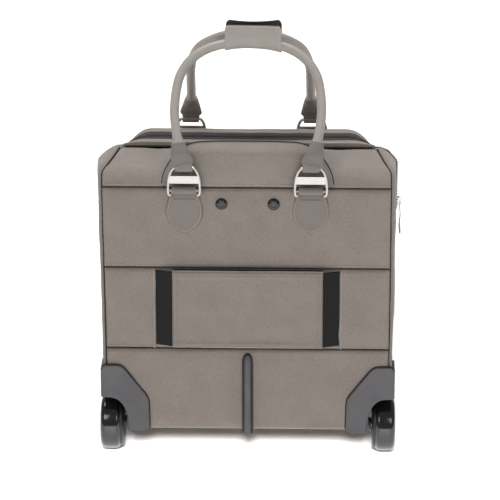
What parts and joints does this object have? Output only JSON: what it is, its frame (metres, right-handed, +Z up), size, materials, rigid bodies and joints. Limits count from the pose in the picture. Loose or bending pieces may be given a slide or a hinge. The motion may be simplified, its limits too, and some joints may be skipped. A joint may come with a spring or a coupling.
{
  "type": "rolling laptop case",
  "caption": "Soft-sided upright rolling laptop case with corner wheels, a telescopic trolley handle, buckled leather tote handles, a zipped top and a sleeve that slips over another trolley.",
  "frame": {"origin": "on the floor under the middle of the case's bounding box", "axes": "+Z up along the case's height; -Y towards the back face with the wheels, the skid rail and the trolley; +X to the right of someone who looks at that back face"},
  "size_m": [0.4184, 0.2318, 0.5994],
  "materials": {
    "case_fabric": "matt woven polyester, taupe grey",
    "lining_fabric": "plain dark lining cloth",
    "zip_tape": "dark knitted tape with a nylon coil",
    "elastic": "ribbed black elastic webbing",
    "leather": "smooth grey-taupe leather with stitched edges",
    "nickel": "satin nickel",
    "axle_steel": "plain turned steel",
    "black_plastic": "fine-grained black moulding",
    "button_metal": "satin",
    "guard_plastic": "dark grey moulding with a slight sheen",
    "wheel_polymer": "glossy black polyurethane",
    "trolley_aluminium": "satin anodised"
  },
  "bodies": {
    "case": {"back_band_shoulder": "case_fabric", "back_band_upper": "case_fabric", "back_band_middle": "case_fabric", "back_band_lower": "case_fabric", "side_gusset_left": "case_fabric", "side_gusset_right": "case_fabric", "front_panel": "case_fabric", "front_pocket": "case_fabric", "piping_back_left": "case_fabric", "piping_back_right": "case_fabric", "piping_front": "case_fabric", "bottom_panel": "case_fabric", "trolley_sleeve": "case_fabric", "inner_wall": "lining_fabric", "laptop_sleeve": "lining_fabric", "zip_side_left": "zip_tape", "zip_side_right": "zip_tape", "elastic_left": "elastic", "elastic_right": "elastic", "handle_tab_back_left": "leather", "handle_tab_back_right": "leather", "handle_tab_front_left": "leather", "handle_tab_front_right": "leather", "axle_left": "axle_steel", "axle_right": "axle_steel", "rivet_left": "black_plastic", "rivet_right": "black_plastic", "skid_rail": "black_plastic", "foot_left": "black_plastic", "foot_right": "black_plastic", "trolley_top_bracket": "black_plastic", "trolley_bottom_bracket": "black_plastic", "base_board": "black_plastic", "corner_guard_left": "guard_plastic", "corner_guard_right": "guard_plastic", "tube_outer_left": "trolley_aluminium", "tube_outer_right": "trolley_aluminium"},
    "gusset_back": {"zip_gusset_back": "case_fabric"},
    "gusset_front": {"zip_gusset_front": "case_fabric"},
    "slider_right": {"zip_slider_right": "nickel"},
    "pull_right": {"zip_pull_right": "nickel"},
    "flap": {"trolley_flap": "case_fabric"},
    "buckles_back": {"buckle_back_left": "nickel", "buckle_back_right": "nickel"},
    "buckles_front": {"buckle_front_left": "nickel", "buckle_front_right": "nickel"},
    "tote_handle_back": {"handle_back": "leather", "handle_wrap_back": "leather"},
    "tote_handle_front": {"handle_front": "leather", "handle_wrap_front": "leather"},
    "wheel_left": {"wheel_left": "wheel_polymer"},
    "wheel_right": {"wheel_right": "wheel_polymer"},
    "trolley_middle": {"tube_middle_left": "trolley_aluminium", "tube_middle_right": "trolley_aluminium"},
    "trolley_inner": {"tube_inner_left": "trolley_aluminium", "tube_inner_right": "trolley_aluminium", "trolley_grip": "black_plastic"},
    "button": {"trolley_button": "button_metal"}
  },
  "joints": [
    {"name": "wheel_left_spin", "type": "hinge", "parent": "case", "child": "wheel_left", "pos_m": [-0.19375, -0.073, 0.038], "axis": [1, 0, 0], "continuous": true},
    {"name": "wheel_right_spin", "type": "hinge", "parent": "case", "child": "wheel_right", "pos_m": [0.19375, -0.073, 0.038], "axis": [1, 0, 0], "continuous": true},
    {"name": "trolley_middle_slide", "type": "slide", "parent": "case", "child": "trolley_middle", "axis": [0, 0, 1], "range_m": [0, 0.275]},
    {"name": "trolley_inner_slide", "type": "slide", "parent": "trolley_middle", "child": "trolley_inner", "axis": [0, 0, 1], "range_m": [0, 0.275]},
    {"name": "trolley_button_press", "type": "slide", "parent": "trolley_inner", "child": "button", "axis": [0, 0, -1], "range_m": [0, 0.003], "stiffness_N_per_m": 400},
    {"name": "top_zip_back_open", "type": "hinge", "parent": "case", "child": "gusset_back", "pos_m": [0, -0.0306, 0.431], "axis": [1, 0, 0], "range_deg": [0, 85]},
    {"name": "top_zip_front_open", "type": "hinge", "parent": "case", "child": "gusset_front", "pos_m": [0, 0.0306, 0.431], "axis": [-1, 0, 0], "range_deg": [0, 85]},
    {"name": "zip_slider_right_slide", "type": "slide", "parent": "case", "child": "slider_right", "axis": [0, 0, 1], "range_m": [0, 0.038]},
    {"name": "zip_pull_right_swing", "type": "hinge", "parent": "slider_right", "child": "pull_right", "pos_m": [0.20965, 0, 0.344], "axis": [0, -1, 0], "range_deg": [0, 110]},
    {"name": "trolley_flap_open", "type": "hinge", "parent": "case", "child": "flap", "pos_m": [0, -0.1017, 0.3976], "axis": [1, 0, 0], "range_deg": [0, 50]},
    {"name": "buckles_back_swing", "type": "hinge", "parent": "case", "child": "buckles_back", "pos_m": [0, -0.1105, 0.3945], "axis": [1, 0, 0], "range_deg": [0, 50]},
    {"name": "tote_handle_back_swing", "type": "hinge", "parent": "buckles_back", "child": "tote_handle_back", "pos_m": [0, -0.1105, 0.4265], "axis": [1, 0, 0], "range_deg": [0, 80]},
    {"name": "buckles_front_swing", "type": "hinge", "parent": "case", "child": "buckles_front", "pos_m": [0, 0.1105, 0.3945], "axis": [-1, 0, 0], "range_deg": [0, 90]},
    {"name": "tote_handle_front_swing", "type": "hinge", "parent": "buckles_front", "child": "tote_handle_front", "pos_m": [0, 0.1105, 0.4265], "axis": [-1, 0, 0], "range_deg": [0, 80]}
  ],
  "couplings": [
    {"joint": "buckles_back_swing", "follows": "trolley_flap_open", "ratio": 1}
  ]
}
